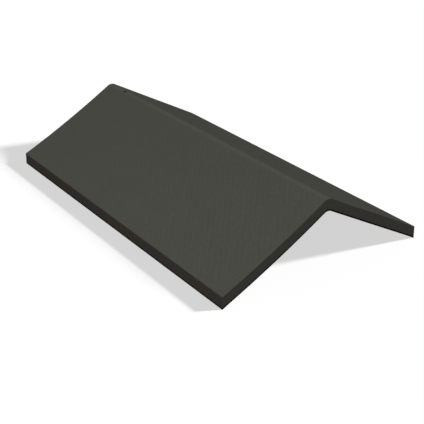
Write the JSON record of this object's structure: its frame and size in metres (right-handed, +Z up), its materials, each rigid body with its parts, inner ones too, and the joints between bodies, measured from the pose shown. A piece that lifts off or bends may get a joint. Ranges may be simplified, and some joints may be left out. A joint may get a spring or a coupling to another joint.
{
  "type": "concrete ridge tile",
  "caption": "Angular concrete ridge tile for a pitched roof: sloping wings that meet in a rounded crest, cast in one piece, with a screw hole through the crest.",
  "frame": {"origin": "middle of the length and of the span, on the level plane under both eaves", "axes": "+X along the ridge, away from the end with the fixing hole; +Y across the ridge to the straight wing, the slightly dished wing being on -Y; +Z up"},
  "size_m": [0.45, 0.268, 0.0855],
  "materials": {
    "concrete": "smooth through-coloured concrete, dark charcoal, with a matt coat on its weather side"
  },
  "bodies": {
    "root": {"ridge_tile": "concrete"}
  },
  "joints": []
}
